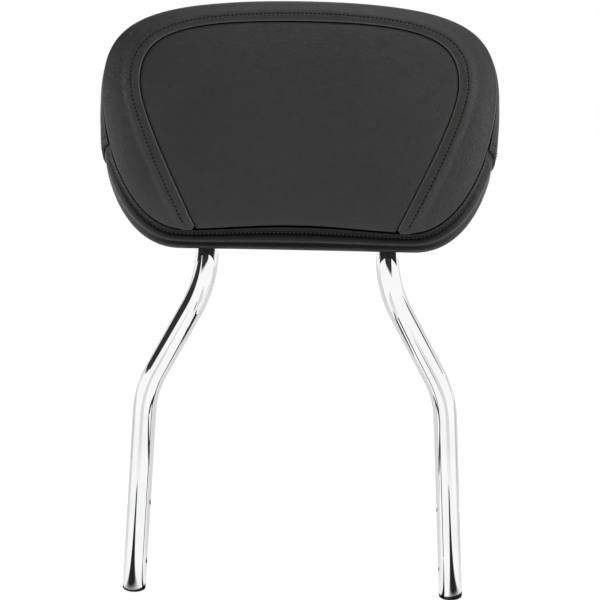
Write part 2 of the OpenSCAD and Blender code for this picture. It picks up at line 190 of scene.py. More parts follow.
def seam_at(a):
    return np.interp(folded(a), *SEAM)


def centre_at(a):
    f = folded(a)
    return np.where(f >= TIP, seam_at(a), np.interp(f, *CENTRE))


def smooth(x):
    t = np.clip(x, 0, 1)
    return t * t * (3 - 2 * t)


def lowness(a):
    """0 where the upper band is, 1 where the lower one is."""
    return smooth((folded(a) - SPLIT_DEG + BLEND_DEG / 2) / BLEND_DEG)


def mix(a, b, t):
    return a + (b - a) * t


def seam_depth(a):
    return BACK_V + mix(SEAM_DEPTH[0], SEAM_DEPTH[1], lowness(a))


def edge_depth(a):
    return BACK_V + mix(EDGE_DEPTH[0], EDGE_DEPTH[1], lowness(a))


def flat_point(a, r, v):
    """[u, v, w] of a place given by bearing, distance from the hub and depth."""
    rad = np.radians(a)
    return np.stack([r * np.sin(rad), v + 0 * r, HUB + r * np.cos(rad)], axis=-1)


def world(p):
    """Places in the pad's frame, turned into metres in the shared frame."""
    p = np.asarray(p, float)
    u, v, w = p[..., 0], p[..., 1], p[..., 2]
    return np.stack([
        u, w * math.sin(RAKE) - v * math.cos(RAKE),
        SHOULDER_Z + w * math.cos(RAKE) + v * math.sin(RAKE)], axis=-1) / 1000.0


def normals(grid, around):
    """Unit normals of a grid of points, bearing by station, pointing out of the pad."""
    if around:
        da = np.roll(grid, -1, 0) - np.roll(grid, 1, 0)
    else:
        da = np.gradient(grid, axis=0)
    ds = np.gradient(grid, axis=1)
    n = np.cross(ds, da)
    n /= np.maximum(np.linalg.norm(n, axis=-1, keepdims=True), 1e-9)
    return n


def even_bearings(count):
    """Bearings spread evenly along the outer seam, all the way round from the top."""
    fine = np.linspace(0, 360, 7201)
    p = flat_point(fine, seam_at(fine), 0 * fine)
    run = np.concatenate([[0], np.cumsum(np.linalg.norm(np.diff(p, axis=0), axis=1))])
    return np.interp(np.arange(count) / count * run[-1], run, fine)


# Meshes

def make_object(name, verts, faces, material, replaces=(), wear_and_sheen=None, painted_shade=None):
    """A piece on the root body, with amounts of rubbed wear and painted highlight, and of painted
    shade.
    """
    mesh = bpy.data.meshes.new(name)
    mesh.from_pydata([tuple(v) for v in verts], [], [tuple(int(i) for i in f) for f in faces])
    mesh.validate()
    mesh.update()
    mesh.shade_smooth()
    mesh.materials.append(material)
    for kind, amount in (("wear_and_sheen", wear_and_sheen), ("painted_shade", painted_shade)):
        if amount is not None:
            layer = mesh.attributes.new(kind, "FLOAT", "POINT")
            layer.data.foreach_set("value", np.clip(np.ravel(amount), 0, 1).astype(np.float32))
    obj = add_object(name, mesh)
    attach(obj, "root")
    if replaces:
        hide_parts(*replaces)
    return obj


def grid_faces(rows, cols, around):
    """Faces of a grid of points in row-major order, rows being bearings."""
    out = []
    for i in range(rows if around else rows - 1):
        j = (i + 1) % rows
        for k in range(cols - 1):
            out.append((i * cols + k, j * cols + k, j * cols + k + 1, i * cols + k + 1))
    return out


def fan(rows, cols, column, middle):
    """Faces from one column of a grid that runs all the way round to a middle point."""
    return [(i * cols + column, middle, (i + 1) % rows * cols + column) for i in range(rows)]


def closed_mesh(grid, front, rear):
    """A grid that runs all the way round, closed at both ends by middle points at two depths."""
    rows, cols = grid.shape[:2]
    ends = [flat_point(0.0, 0.0, front), flat_point(0.0, 0.0, rear)]
    faces = grid_faces(rows, cols, True) + fan(rows, cols, 0, rows * cols)
    faces += [face[::-1] for face in fan(rows, cols, cols - 1, rows * cols + 1)]
    return world(np.vstack([grid.reshape(-1, 3), ends])), faces


# Materials

# Colours mixed into the vinyl: pale brown for rubbed wear and painted highlight, near black for
# painted shade
RUB_AND_SHEEN, SHADED = (0.085, 0.077, 0.069, 1), (0.002, 0.002, 0.002, 1)
GRAIN_WANDER, GRAIN_DEPTH = 0.0022, 0.00044


def new_material(name):
    material = bpy.data.materials.new(name)
    material.use_nodes = True
    tree = material.node_tree
    return material, tree, tree.nodes["Principled BSDF"]


def node(tree, kind, **values):
    """A new node with its properties, or else its inputs, set by name."""
    n = tree.nodes.new(kind)
    for key, value in values.items():
        if hasattr(n, key):
            setattr(n, key, value)
        else:
            n.inputs[key.replace("_", " ")].default_value = value
    return n


def wire(tree, source, target):
    tree.links.new(source, target)


def maths(tree, operation, first, second=None):
    n = node(tree, "ShaderNodeMath", operation=operation)
    for i, value in enumerate((first, second)):
        if value is None:
            continue
        if hasattr(value, "is_linked"):
            wire(tree, value, n.inputs[i])
        else:
            n.inputs[i].default_value = value
    return n.outputs[0]


def weighted(tree, *parts):
    """Sum of sources, each times its weight."""
    total = None
    for source, weight in parts:
        part = maths(tree, "MULTIPLY", source, weight)
        total = part if total is None else maths(tree, "ADD", total, part)
    return total


def object_place(tree):
    return node(tree, "ShaderNodeTexCoord").outputs["Object"]


def texture(tree, kind, place, **values):
    """A texture laid out by the vector in place."""
    n = node(tree, "ShaderNodeTex" + kind, **values)
    wire(tree, place, n.inputs["Vector"])
    return n


def ramp(tree, source, low, high, start, end):
    """Colour between two tones over a part of the source's range."""
    n = tree.nodes.new("ShaderNodeValToRGB")
    for element, place, colour in zip(n.color_ramp.elements, (start, end), (low, high)):
        element.position = place
        element.color = (*colour, 1)
    wire(tree, source, n.inputs["Fac"])
    return n.outputs["Color"]


def spread(tree, source, low, high):
    n = node(tree, "ShaderNodeMapRange", To_Min=low, To_Max=high)
    wire(tree, source, n.inputs["Value"])
    return n.outputs["Result"]


def toned(tree, factor, first, second):
    """A colour mixed towards a second one by a factor."""
    n = node(tree, "ShaderNodeMix", data_type="RGBA")
    wire(tree, factor, n.inputs["Factor"])
    wire(tree, first, n.inputs[6])
    n.inputs[7].default_value = second
    return n.outputs[2]


def emboss(tree, bsdf, height, strength, depth):
    n = node(tree, "ShaderNodeBump", Strength=strength, Distance=depth)
    wire(tree, height, n.inputs["Height"])
    wire(tree, n.outputs["Normal"], bsdf.inputs["Normal"])


def vinyl_material(name, dark, light, rough=(0.40, 0.52), grain=0.6, level=0.4):
    """Black vinyl: pebbled grain, faint creases, uneven tone, rubbed wear with painted highlight,
    painted shade.
    """
    material, tree, bsdf = new_material(name)
    place = object_place(tree)
    bend = texture(tree, "Noise", place, Scale=260.0, Detail=2.0)
    shift = node(tree, "ShaderNodeVectorMath", operation="MULTIPLY_ADD")
    wire(tree, bend.outputs["Color"], shift.inputs[0])
    shift.inputs[1].default_value = (GRAIN_WANDER,) * 3
    wire(tree, place, shift.inputs[2])
    cells = texture(tree, "Voronoi", shift.outputs[0], feature="DISTANCE_TO_EDGE", Scale=640.0)
    fine = texture(tree, "Noise", place, Scale=1500.0, Detail=2.0).outputs["Fac"]
    cloud = texture(tree, "Noise", place, Scale=15.0, Detail=5.0, Roughness=0.62).outputs["Fac"]
    mottle = texture(tree, "Noise", place, Scale=170.0, Detail=4.0, Roughness=0.7).outputs["Fac"]
    stretch = node(
        tree, "ShaderNodeMapping", Rotation=(0.3, 0.5, 0.4), Scale=(55.0, 55.0, 130.0))
    wire(tree, place, stretch.inputs["Vector"])
    folds = texture(
        tree, "Noise", stretch.outputs["Vector"],
        Scale=1.0, Detail=3.0, Roughness=0.55, Distortion=0.6)
    line = maths(tree, "ABSOLUTE", maths(tree, "SUBTRACT", folds.outputs["Fac"], 0.5))
    line = maths(tree, "MINIMUM", maths(tree, "MULTIPLY", line, 22.0), 1.0)
    pebble = maths(tree, "MULTIPLY", cells.outputs["Distance"], 3.5)
    pebble = maths(tree, "MINIMUM", pebble, 1.0)
    mixed = weighted(tree, (cloud, 0.5), (mottle, 0.5))
    # Rubbed wear with painted highlight, and painted shade that darkens the colour and takes away
    # the gloss
    wear_and_sheen, shade_level = (
        node(tree, "ShaderNodeAttribute", attribute_name=kind).outputs["Fac"]
        for kind in ("wear_and_sheen", "painted_shade"))
    tone = toned(tree, wear_and_sheen, ramp(tree, mixed, dark, light, 0.36, 0.64), RUB_AND_SHEEN)
    wire(tree, toned(tree, shade_level, tone, SHADED), bsdf.inputs["Base Color"])
    gloss = maths(tree, "MULTIPLY", maths(tree, "SUBTRACT", 1.0, shade_level), level)
    wire(tree, gloss, bsdf.inputs["Specular IOR Level"])
    wire(tree, spread(tree, mixed, *rough), bsdf.inputs["Roughness"])
    height = weighted(tree, (pebble, 0.4), (fine, 0.2), (line, 0.35), (mottle, 1.3))
    emboss(tree, bsdf, height, grain, GRAIN_DEPTH)
    return material


def metal_material(name, scale, detail, dark, light, span, rough):
    material, tree, bsdf = new_material(name)
    marks = texture(tree, "Noise", object_place(tree), Scale=scale, Detail=detail).outputs["Fac"]
    wire(tree, ramp(tree, marks, dark, light, *span), bsdf.inputs["Base Color"])
    wire(tree, spread(tree, marks, *rough), bsdf.inputs["Roughness"])
    bsdf.inputs["Metallic"].default_value = 1.0
    return material


def wood_material(name, dark, light, stretch):
    material, tree, bsdf = new_material(name)
    turn = node(tree, "ShaderNodeMapping", Scale=stretch)
    wire(tree, object_place(tree), turn.inputs["Vector"])
    fibre = texture(
        tree, "Noise", turn.outputs["Vector"], Scale=90.0, Detail=6.0, Roughness=0.65)
    fibre = fibre.outputs["Fac"]
    wire(tree, ramp(tree, fibre, dark, light, 0.3, 0.75), bsdf.inputs["Base Color"])
    bsdf.inputs["Roughness"].default_value = 0.7
    emboss(tree, bsdf, fibre, 0.25, 0.0003)
    return material


def speckled_material(name, dark, light, scale, rough, depth):
    material, tree, bsdf = new_material(name)
    pores = texture(tree, "Voronoi", object_place(tree), Scale=scale).outputs["Distance"]
    wire(tree, ramp(tree, pores, dark, light, 0.1, 0.6), bsdf.inputs["Base Color"])
    bsdf.inputs["Roughness"].default_value = rough
    emboss(tree, bsdf, pores, 0.4, depth)
    return material


def thread_material(name, dark, light, level):
    material, tree, bsdf = new_material(name)
    fibre = texture(tree, "Noise", object_place(tree), Scale=2600.0, Detail=2.0).outputs["Fac"]
    wire(tree, ramp(tree, fibre, (dark,) * 3, (light,) * 3, 0.3, 0.7), bsdf.inputs["Base Color"])
    bsdf.inputs["Roughness"].default_value = 0.7
    bsdf.inputs["Specular IOR Level"].default_value = level
    return material


VINYL = vinyl_material("vinyl_face", (0.021, 0.0195, 0.0195), (0.027, 0.0255, 0.025))
VINYL_EDGE = vinyl_material(
    "vinyl_border", (0.022, 0.0215, 0.021), (0.030, 0.029, 0.028), rough=(0.36, 0.47))
# Painted shade: a darker copy of the vinyl for the side bands
VINYL_SIDE_SHADED = vinyl_material(
    "vinyl_side_shaded", (0.010, 0.0095, 0.009), (0.016, 0.0155, 0.015), rough=(0.34, 0.44), level=0.5)
VINYL_REAR = vinyl_material(
    "vinyl_rear", (0.020, 0.020, 0.020), (0.028, 0.027, 0.027), rough=(0.45, 0.6), grain=0.8)
CHROME = metal_material(
    "chrome", 35.0, 3.0, (0.90, 0.905, 0.915), (0.96, 0.96, 0.965), (0.3, 0.7), (0.008, 0.02))
STEEL = metal_material(
    "steel", 260.0, 4.0, (0.42, 0.43, 0.45), (0.62, 0.62, 0.63), (0.25, 0.75), (0.25, 0.42))
PLY = wood_material("plywood", (0.42, 0.27, 0.13), (0.62, 0.44, 0.25), (1.0, 1.0, 12.0))
HARDBOARD = wood_material("hardboard", (0.11, 0.06, 0.03), (0.19, 0.11, 0.06), (6.0, 6.0, 6.0))
FOAM = speckled_material("foam", (0.42, 0.37, 0.20), (0.66, 0.60, 0.38), 700.0, 0.95, 0.0006)
NYLON = speckled_material(
    "nylon", (0.012, 0.012, 0.012), (0.022, 0.022, 0.022), 900.0, 0.45, 0.00005)
THREAD = thread_material("thread", 0.0015, 0.006, 0.08)
# Painted highlight: a paler copy of the thread for the lower band's topstitch
THREAD_SHEEN = thread_material("thread_sheen", 0.03, 0.05, 0.4)

FINISH = {
    "bar_tube": CHROME, "lower_mount_strap": CHROME, "upper_mount_strap": CHROME,
    "weld_beads": CHROME, "left_end_insert": STEEL, "right_end_insert": STEEL,
    "tee_nuts": STEEL, "staples": STEEL, "pad_screws": STEEL, "lock_washers": STEEL,
    "flat_washers": STEEL, "base_board": PLY, "rear_sheet": HARDBOARD, "foam_core": FOAM,
    "panel_clips": NYLON,
    "centre_panel": VINYL, "border_panel": VINYL_EDGE, "upper_boxing": VINYL_SIDE_SHADED,
    "lower_boxing": VINYL_SIDE_SHADED, "rear_cover": VINYL_REAR}
for name, obj in NODES.items():
    obj.data.materials.clear()
    obj.data.materials.append(FINISH[name])


# Sections of the cover as dense lines of [distance from the hub, depth], one for each bearing.
# The face turns over from ROLL_START, a share of the way to the seam. The side band passes BULGE
# on its way from the seam to the edge, shares of the way across and in depth, and CORNER, a share
# of REAR_R, where it turns in behind.

ROLL_START = 0.967
BULGE = ((0.45, 0.22), (0.8, 0.55))
CORNER = 0.3


def face_section(a):
    flat = np.linspace(0, ROLL_START, 220)
    wall = np.linspace((1 - flat[-1] ** FACE_POWER) ** (1 / FACE_POWER), 0, 120)[1:]
    q = np.concatenate([flat, (1 - wall ** FACE_POWER) ** (1 / FACE_POWER)])
    roll = np.concatenate([(1 - flat ** FACE_POWER) ** (1 / FACE_POWER), wall])
    s, sv = seam_at(a)[:, None], seam_depth(a)[:, None]
    v = sv + (BACK_V + FACE_DEPTH - sv) * roll + CROWN * (1 - q * q)
    return np.stack([s * q, v], axis=-1)


def box_section(a):
    s, e, sv, ev = seam_at(a), edge_at(a), seam_depth(a), edge_depth(a)
    flange = np.full(len(a), FLANGE_V)
    p = np.stack([
        np.stack([s, sv], -1),
        *(np.stack([mix(s, e, across), mix(sv, ev, back)], -1) for across, back in BULGE),
        np.stack([e, ev], -1),
        np.stack([e - CORNER * REAR_R, flange + CORNER * REAR_R], -1),
        np.stack([e - REAR_R, flange], -1),
        np.stack([e - TURN_IN, flange], -1)], axis=1)
    gap = np.linalg.norm(np.diff(p, axis=1), axis=2, keepdims=True)
    rate = np.diff(p, axis=1) / gap
    slope = np.empty_like(p)
    slope[:, 1:-1] = rate[:, :-1] * gap[:, 1:] + rate[:, 1:] * gap[:, :-1]
    slope[:, 1:-1] /= gap[:, 1:] + gap[:, :-1]
    slope[:, 0], slope[:, -1] = rate[:, 0], rate[:, -1]
    t = np.linspace(0, 1, 31)[None, :, None]
    parts = []
    for i in range(gap.shape[1]):
        here, there, h = slice(i, i + 1), slice(i + 1, i + 2), gap[:, i:i + 1]
        parts.append(
            (2 * t ** 3 - 3 * t ** 2 + 1) * p[:, here]
            + (t ** 3 - 2 * t ** 2 + t) * h * slope[:, here]
            + (3 * t ** 2 - 2 * t ** 3) * p[:, there] + (t ** 3 - t ** 2) * h * slope[:, there])
    return np.concatenate([parts[0]] + [part[:, 1:] for part in parts[1:]], axis=1)


def runs(section):
    """Distance along each section up to each of its points."""
    step = np.linalg.norm(np.diff(section, axis=1), axis=2)
    return np.concatenate([np.zeros((len(step), 1)), np.cumsum(step, axis=1)], axis=1)


def at_marks(section, run, marks):
    """Points of the sections at distances along them, given for each bearing."""
    out = np.empty(marks.shape + (2,))
    for i in range(len(marks)):
        for axis in (0, 1):
            out[i, :, axis] = np.interp(marks[i], run[i], section[i, :, axis])
    return out


def surface(a, section, run, marks):
    """Grid of [u, v, w] points on the cover, at distances along each bearing's section."""
    rv = at_marks(section, run, marks)
    return flat_point(a[:, None], rv[..., 0], rv[..., 1])


def bump(x, middle, width):
    """A smooth hump of height 1."""
    return np.exp(-((x - middle) / width) ** 2)


# Seams, folds and stitches, in millimetres and degrees. LAP is how far the centre panel runs on
# under the border, TUCK how far a panel's end turns in at the outer seam, and NARROW the width
# below which the border's folds fade. The bands meet at JOIN_SEAM at the outer seam and at
# JOIN_REAR behind, HEM is how many degrees the lower one runs on under the upper one, HEM_SUNK how
# far the upper one's end is turned in, and DEGREE a degree's length there. The rows of stitches
# lie at the last distances.

RING = even_bearings(432)
LAP, TUCK, NARROW = 1.6, 4.5, 16.0
JOIN_SEAM, JOIN_REAR, JOIN_RUN = 97.0, 102.5, 34.0
HEM, HEM_SUNK, DEGREE = 1.4, 1.6, 2.6
STITCH_TOP, STITCH_SIDE = 5.2, 6.6
BAND_STITCH, SEAM_STITCH, JOIN_STITCH = 5.75, 1.05, 6.0


def stitch_in(a, width):
    """Distance of the border's topstitch from the inset seam."""
    whole = mix(STITCH_TOP, STITCH_SIDE, smooth((folded(a) - 20) / 55))
    return whole * np.minimum(1, width / NARROW)


def join_at(d):
    """Bearing of the bands' join at a distance behind the outer seam."""
    return mix(JOIN_SEAM, JOIN_REAR, smooth(d / JOIN_RUN))


def face_lengths(a, section, run):
    """Distances along each section to the inset seam and to the outer seam."""
    c = centre_at(a)
    to_inset = np.array([np.interp(c[i], section[i, :, 0], run[i]) for i in range(len(a))])
    return to_inset, run[:, -1]


# The cover is simulated as stretched cloth: sewn down along both seams and round the rear rim,
# pressed out by the foam, and slack beside the seams. Its small movements are added to the fine
# panels below.

SIM_RING, SIM_FACE, SIM_BORDER, SIM_BAND = 120, 12, 9, 10
SIM_SCALE, SIM_FRAMES, SIM_SEED = 100.0, 30, 11
LEAST_BORDER = 9.0
LEAST_MOVE, MOST_MOVE = -1.2, 2.2
CLOTH = {
    "quality": 6, "mass": 0.4, "tension_stiffness": 40.0, "compression_stiffness": 40.0,
    "shear_stiffness": 12.0, "bending_stiffness": 1.2, "tension_damping": 25.0,
    "compression_damping": 25.0, "shear_damping": 25.0, "air_damping": 4.0,
    "vertex_group_mass": "sewn", "vertex_group_shrink": "slack",
    "shrink_min": 0.0, "shrink_max": -0.003, "use_pressure": True,
    "uniform_pressure_force": -0.5}


def sim_points(a):
    """Grid of the whole cover, from the face's middle out and round to the rear rim."""
    face, box = face_section(a), box_section(a)
    run, side = runs(face), runs(box)
    inset, whole = face_lengths(a, face, run)
    inset = np.minimum(inset, whole - LEAST_BORDER)
    share = [np.arange(1, count + 1) / count for count in (SIM_FACE, SIM_BORDER, SIM_BAND)]
    inner = surface(a, face, run, inset[:, None] * share[0])
    outer = surface(a, face, run, inset[:, None] + (whole - inset)[:, None] * share[1])
    band = surface(a, box, side, side[:, -1:] * share[2])
    middle = flat_point(0.0, 0.0, float(face[0, 0, 1]))
    return np.concatenate([inner, outer, band], axis=1), middle


def hold_and_slack(obj, a, cols, total):
    """Vertex groups that pin the cloth at its seams and leave it slack beside them."""
    sewn = obj.vertex_groups.new(name="sewn")
    inset_col, seam_col = SIM_FACE - 1, SIM_FACE + SIM_BORDER - 1
    for i, bearing in enumerate(folded(a)):
        held = {inset_col, seam_col, cols - 2, cols - 1}
        if bearing >= TIP:
            held |= set(range(inset_col, seam_col))
        sewn.add([i * cols + k for k in sorted(held)], 1.0, "REPLACE")
    rng = np.random.default_rng(SIM_SEED)
    slack = obj.vertex_groups.new(name="slack")
    for v in range(total):
        k = v % cols
        near = max(bump(k, inset_col - 1, 1.5), bump(k, seam_col + 1, 3.0))
        amount = np.clip(near * (0.5 + 0.5 * rng.standard_normal()), 0, 1)
        slack.add([v], float(amount), "REPLACE")


def simulated():
    """Movement of each panel out of its rest shape, in tables of bearing by share of its width."""
    a = even_bearings(SIM_RING)
    grid, middle = sim_points(a)
    cols = grid.shape[1]
    rest = np.vstack([grid.reshape(-1, 3), middle[None]]) / SIM_SCALE
    faces = grid_faces(SIM_RING, cols, True) + fan(SIM_RING, cols, 0, len(rest) - 1)
    mesh = bpy.data.meshes.new("cover_sim")
    mesh.from_pydata([tuple(v) for v in rest], [], faces)
    obj = add_object("cover_sim", mesh)
    hold_and_slack(obj, a, cols, len(rest))
    cloth = obj.modifiers.new("cloth", "CLOTH")
    for key, value in CLOTH.items():
        setattr(cloth.settings, key, value)
    cloth.settings.effector_weights.gravity = 0.0
    cloth.collision_settings.use_collision = False
    cloth.point_cache.frame_start, cloth.point_cache.frame_end = 1, SIM_FRAMES
    scene = bpy.context.scene
    for frame_number in range(1, SIM_FRAMES + 1):
        scene.frame_set(frame_number)
    got = obj.evaluated_get(bpy.context.evaluated_depsgraph_get()).data
    moved = np.empty(len(rest) * 3)
    got.vertices.foreach_get("co", moved)
    shift = (moved.reshape(-1, 3) - rest)[:-1].reshape(SIM_RING, cols, 3) * SIM_SCALE
    out = np.sum(shift * normals(grid, True), axis=-1)
    scene.frame_set(1)
    bpy.data.objects.remove(obj)
    bpy.data.meshes.remove(mesh)
    out = np.clip(out, LEAST_MOVE, MOST_MOVE)
    print("cover moved by", round(float(out.min()), 2), "to", round(float(out.max()), 2), "mm")
    zero = np.zeros((SIM_RING, 1))
    seam = SIM_FACE + SIM_BORDER
    return {
        "centre": np.concatenate([out[:, :1], out[:, :SIM_FACE]], axis=1),
        "border": np.concatenate([zero, out[:, SIM_FACE:seam]], axis=1),
        "band": np.concatenate([zero, out[:, seam:]], axis=1)}


RELIEF = {"centre": None, "border": None, "band": None}


def cubic_weights(f):
    """Weights of four neighbours in a smooth curve, at a fraction between the middle two."""
    return [
        ((-0.5 * f + 1) * f - 0.5) * f, ((1.5 * f - 2.5) * f) * f + 1,
        ((-1.5 * f + 2) * f + 0.5) * f, ((0.5 * f - 0.5) * f) * f]


def relief(panel, a, share):
    """Movement of the simulated cover at bearings and shares of a panel's width."""
    table = RELIEF[panel]
    if table is None:
        return np.zeros(np.broadcast(a, share).shape)
    rows = even_bearings(SIM_RING)
    last = table.shape[1] - 1
    a, share = np.broadcast_arrays(np.mod(a, 360.0), share)
    place = np.interp(a, np.append(rows, 360.0), np.arange(SIM_RING + 1))
    along = np.clip(share, 0, 1) * last
    i = np.floor(place).astype(int)
    k = np.minimum(np.floor(along).astype(int), last - 1)
    total = 0
    for di, wi in zip((-1, 0, 1, 2), cubic_weights(place - i)):
        for dk, wk in zip((-1, 0, 1, 2), cubic_weights(along - k)):
            total = total + wi * wk * table[(i + di) % SIM_RING, np.clip(k + dk, 0, last)]
    return total


RELIEF = simulated()


# Panels. Each one's rows lie closer together near its seams, and heights are in millimetres
# above the smooth cover. RELIEF moves them all.

# Rows of the centre panel, as distances from the inset seam
CENTRE_NEAR = np.array([6, 5, 4.2, 3.5, 2.8, 2.2, 1.7, 1.3, 0.9, 0.6, 0.35, 0.15, 0])
CENTRE_END = 7.0


def centre_cover():
    """The middle panel: it dips under the border, and into the outer seam at the foot."""
    a = RING
    section = face_section(a)
    run = runs(section)
    inset, whole = face_lengths(a, section, run)
    low = (folded(a) >= TIP).astype(float)[:, None]
    inner = np.linspace(0.03, 1, 34) * (inset - CENTRE_END)[:, None]
    end = np.minimum(inset + LAP, whole)[:, None]
    marks = np.concatenate([inner, inset[:, None] - CENTRE_NEAR, end], axis=1)
    grid = surface(a, section, run, marks)
    n = normals(grid, True)
    d = np.maximum(inset[:, None] - marks, 0)
    height = -0.75 * np.exp(-d / mix(2.6, 1.1, low))
    height = height + 0.35 * bump(d, 9, 5) * low - 0.9 * np.exp(-d / 0.4) * low
    height = height + relief("centre", a[:, None], marks / inset[:, None])
    height[:, -1] = mix(-0.9, -3.0, low[:, 0])
    grid = grid + height[..., None] * n
    middle = flat_point(0.0, 0.0, float(section[0, 0, 1]))
    middle = middle + [0, float(relief("centre", 0.0, 0.0)), 0]
    rows, cols = grid.shape[:2]
    verts = np.vstack([world(grid).reshape(-1, 3), world(middle)[None]])
    faces = grid_faces(rows, cols, True) + fan(rows, cols, 0, rows * cols)
    # Painted shade along the inset seam, where the panel dips under the border
    dark = smooth((1.35 - d) / 1.1)
    return make_object(
        "centre_cover", verts, faces, VINYL, ("centre_panel",), None,
        np.append(dark.ravel(), 0))


# The border's folded lip as [distance, height] at the inset seam, and how much rubbed wear and
# painted highlight its rows get.
# The next rows are shares of the way to the topstitch, and the last ones distances to the seam.
LIP = np.array([
    [3.0, -0.95], [1.2, -0.9], [0, -0.8], [-0.25, 0], [-0.35, 0.5], [-0.15, 0.95], [0.3, 1.2]])
LIP_RUB_AND_SHEEN = (0.1, 0.4, 0.7, 0.6, 0.15)
BORDER_NEAR = np.array([
    0.14, 0.24, 0.36, 0.48, 0.6, 0.72, 0.82, 0.9, 0.96, 1.0, 1.04, 1.1, 1.18, 1.3, 1.45, 1.6])
BORDER_EDGE = np.array([3.2, 2.6, 2.0, 1.5, 1.1, 0.8, 0.5, 0.3, 0.15, 0.0])


def border_cover():
    """The horseshoe border: a folded lip, a stitched groove and a roll down into the seam."""
    end = TIP - 0.8
    a = RING[folded(RING) < end - 0.4]
    a = np.sort(np.where(a > 180, a - 360, a))
    a = np.concatenate([[-end], a, [end]])
    section = face_section(a)
    run = runs(section)
    inset, whole = face_lengths(a, section, run)
    rows, first, last = len(a), inset[:, None], whole[:, None]
    width = last - first
    full = smooth(width / NARROW)
    t = stitch_in(a[:, None], width)
    edge = BORDER_EDGE * np.minimum(1, width / NARROW)
    start, stop = 1.6 * t, width - edge[:, :1]
    middle = start + (stop - start) * (np.arange(1, 31) / 31)
    d = np.concatenate([BORDER_NEAR * t, middle, width - edge], axis=1)
    lip = 1.2 * (1 - smooth((d - t) / (15 - t)))
    height = lip - 0.34 * bump(d, t, 0.5) + 0.3 * bump(d, t + 3.4, 2.8)
    height = height * full + 1.0 * (1 - full) * smooth(1 - d / np.maximum(width, 0.1))
    height += relief("border", a[:, None], d / width) * full + 0.35 * bump(width - d, 2.6, 1.5)
    height -= 0.8 * np.exp(-(width - d) / 1.0) + 1.1 * np.exp(-(width - d) / 0.35)
    marks = np.concatenate([first + LIP[:, 0] * np.minimum(1, width / 8), first + d, last], axis=1)
    marks = np.minimum(marks, last)
    lips = np.repeat(LIP[None, :, 1], rows, 0)
    height = np.concatenate([lips, height, np.full((rows, 1), -TUCK)], axis=1)
    grid = surface(a, section, run, marks)
    grid = grid + height[..., None] * normals(grid, False)
    # Rubbed wear and a painted highlight along the top of the fold
    rub_and_sheen = np.zeros(grid.shape[1])
    rub_and_sheen[3:8] = LIP_RUB_AND_SHEEN
    # Painted shade: under the folded lip, in the topstitch groove and down into the outer seam
    dark = 0.2 * bump(d, t, 0.4) + smooth((2.0 - (width - d)) / 1.0)
    dark = np.concatenate(
        [np.ones((rows, 3)), np.zeros((rows, 4)), dark, np.ones((rows, 1))], axis=1)
    return make_object(
        "border_cover", world(grid).reshape(-1, 3), grid_faces(*grid.shape[:2], False),
        VINYL_EDGE, ("border_panel",), np.repeat(rub_and_sheen[None], rows, 0), dark)


# Side bands. The upper one ends in a folded hem that laps over the lower one. Their rows are
# distances behind the outer seam.

BAND_ROWS = np.concatenate([
    [0, 0.15, 0.3, 0.5, 0.75, 1.05, 1.4, 1.8, 2.3, 2.9, 3.5, 4.1, 4.6, 5.0, 5.3, 5.55, 5.75,
     5.95, 6.2, 6.5, 6.9, 7.4, 8.0, 8.7, 9.5],
    np.linspace(10.4, 40, 26), [44, 50, 56]])


def boxing_cover(name, a, split, lower, replaced):
    """split is each row's bearing at the band's end, a the bearing of each column at the seam."""
    if lower:
        spread_out = 180 + (a[:, None] - 180) * ((180 - split) / (180 - split[0]))
    else:
        spread_out = a[:, None] * (split / split[0])
    flat = spread_out.ravel()
    section = box_section(flat)
    run = runs(section)
    want = np.minimum(np.tile(BAND_ROWS, len(a)), run[:, -1])[:, None]
    rv = at_marks(section, run, want)[:, 0]
    grid = flat_point(flat, rv[:, 0], rv[:, 1]).reshape(*spread_out.shape, 3)
    n = normals(grid, False)
    low = lowness(spread_out)
    d = BAND_ROWS[None, :]
    height = -0.8 * np.exp(-d / 1.0) - 1.1 * np.exp(-d / 0.35) + 0.7 * bump(d, 1.7, 0.9)
    height = height + low * (-0.7 * bump(d, BAND_STITCH, 0.8) + 1.7 * bump(d, 10.5, 3.6))
    height = height + (1 - low) * 0.5 * bump(d, 9, 6)
    share = d / run[:, -1].reshape(spread_out.shape)
    height = height + relief("band", spread_out, share) * 0.6
    past = np.abs(folded(spread_out) - split[None, :]) * DEGREE
    if lower:
        height = height - 1.2 * smooth(1 - past / 16)
    else:
        height = height + 1.0 * smooth(1 - past / 20)
        height[0], height[-1] = height[0] - HEM_SUNK, height[-1] - HEM_SUNK
    height = height * smooth((60 - d) / 22)
    inside = grid[:, :1] - TUCK * n[:, 1:2]
    grid = np.concatenate([inside, grid + height[..., None] * n], axis=1)
    # Rubbed wear and a painted highlight on the ridge beside the outer seam
    rub_and_sheen = np.concatenate([[0], 0.45 * bump(BAND_ROWS, 1.3, 0.55)])
    # Painted shade: in the outer seam, below the lower band's topstitch and over the underside of
    # the lower band
    under = smooth((folded(spread_out) - 108) / 28)
    dark = smooth((1.5 - d) / 0.7) + low * 0.35 * bump(d, 7.2, 1.4)
    dark = dark + under * (0.55 + 0.4 * smooth((d - 13) / 3)) * smooth((30 - d) / 10)
    dark = np.concatenate([np.ones((len(a), 1)), dark], axis=1)
    return make_object(
        name, world(grid).reshape(-1, 3), grid_faces(*grid.shape[:2], False),
        VINYL_SIDE_SHADED, (replaced,), np.repeat(rub_and_sheen[None], len(a), 0), dark)


def upper_boxing_cover():
    a = np.where(RING > 180, RING - 360, RING)
    a = np.sort(a[np.abs(a) < JOIN_SEAM - 0.4])
    a = np.concatenate([[-JOIN_SEAM, -JOIN_SEAM + 0.12], a, [JOIN_SEAM - 0.12, JOIN_SEAM]])
    return boxing_cover("upper_boxing_cover", a, join_at(BAND_ROWS), False, "upper_boxing")


